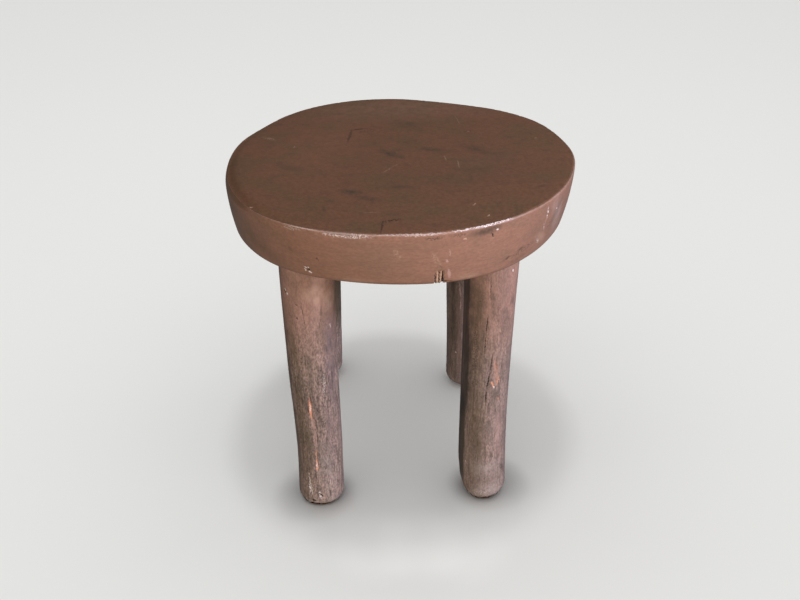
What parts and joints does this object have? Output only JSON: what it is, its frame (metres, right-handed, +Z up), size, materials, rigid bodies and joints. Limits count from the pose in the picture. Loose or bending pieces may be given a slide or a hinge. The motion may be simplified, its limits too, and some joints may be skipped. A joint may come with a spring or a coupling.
{
  "type": "round wooden stool",
  "caption": "Low round stool: a thick hand-cut wooden seat on pole legs held by hidden wedged tenons.",
  "frame": {"origin": "on the floor, below the centre of the box around the seat's rim", "axes": "+Z up through the seat; -Y is the front that the picture shows, +X is its right"},
  "size_m": [0.3297, 0.329, 0.33],
  "materials": {
    "seat_wood": "satin",
    "leg_wood": "matte",
    "wedge_wood": "matte"
  },
  "bodies": {
    "root": {"seat": "seat_wood", "leg_front_left": "leg_wood", "leg_front_right": "leg_wood", "leg_rear_left": "leg_wood", "leg_rear_right": "leg_wood", "wedge_front_left": "wedge_wood", "wedge_front_right": "wedge_wood", "wedge_rear_left": "wedge_wood", "wedge_rear_right": "wedge_wood"}
  },
  "joints": []
}
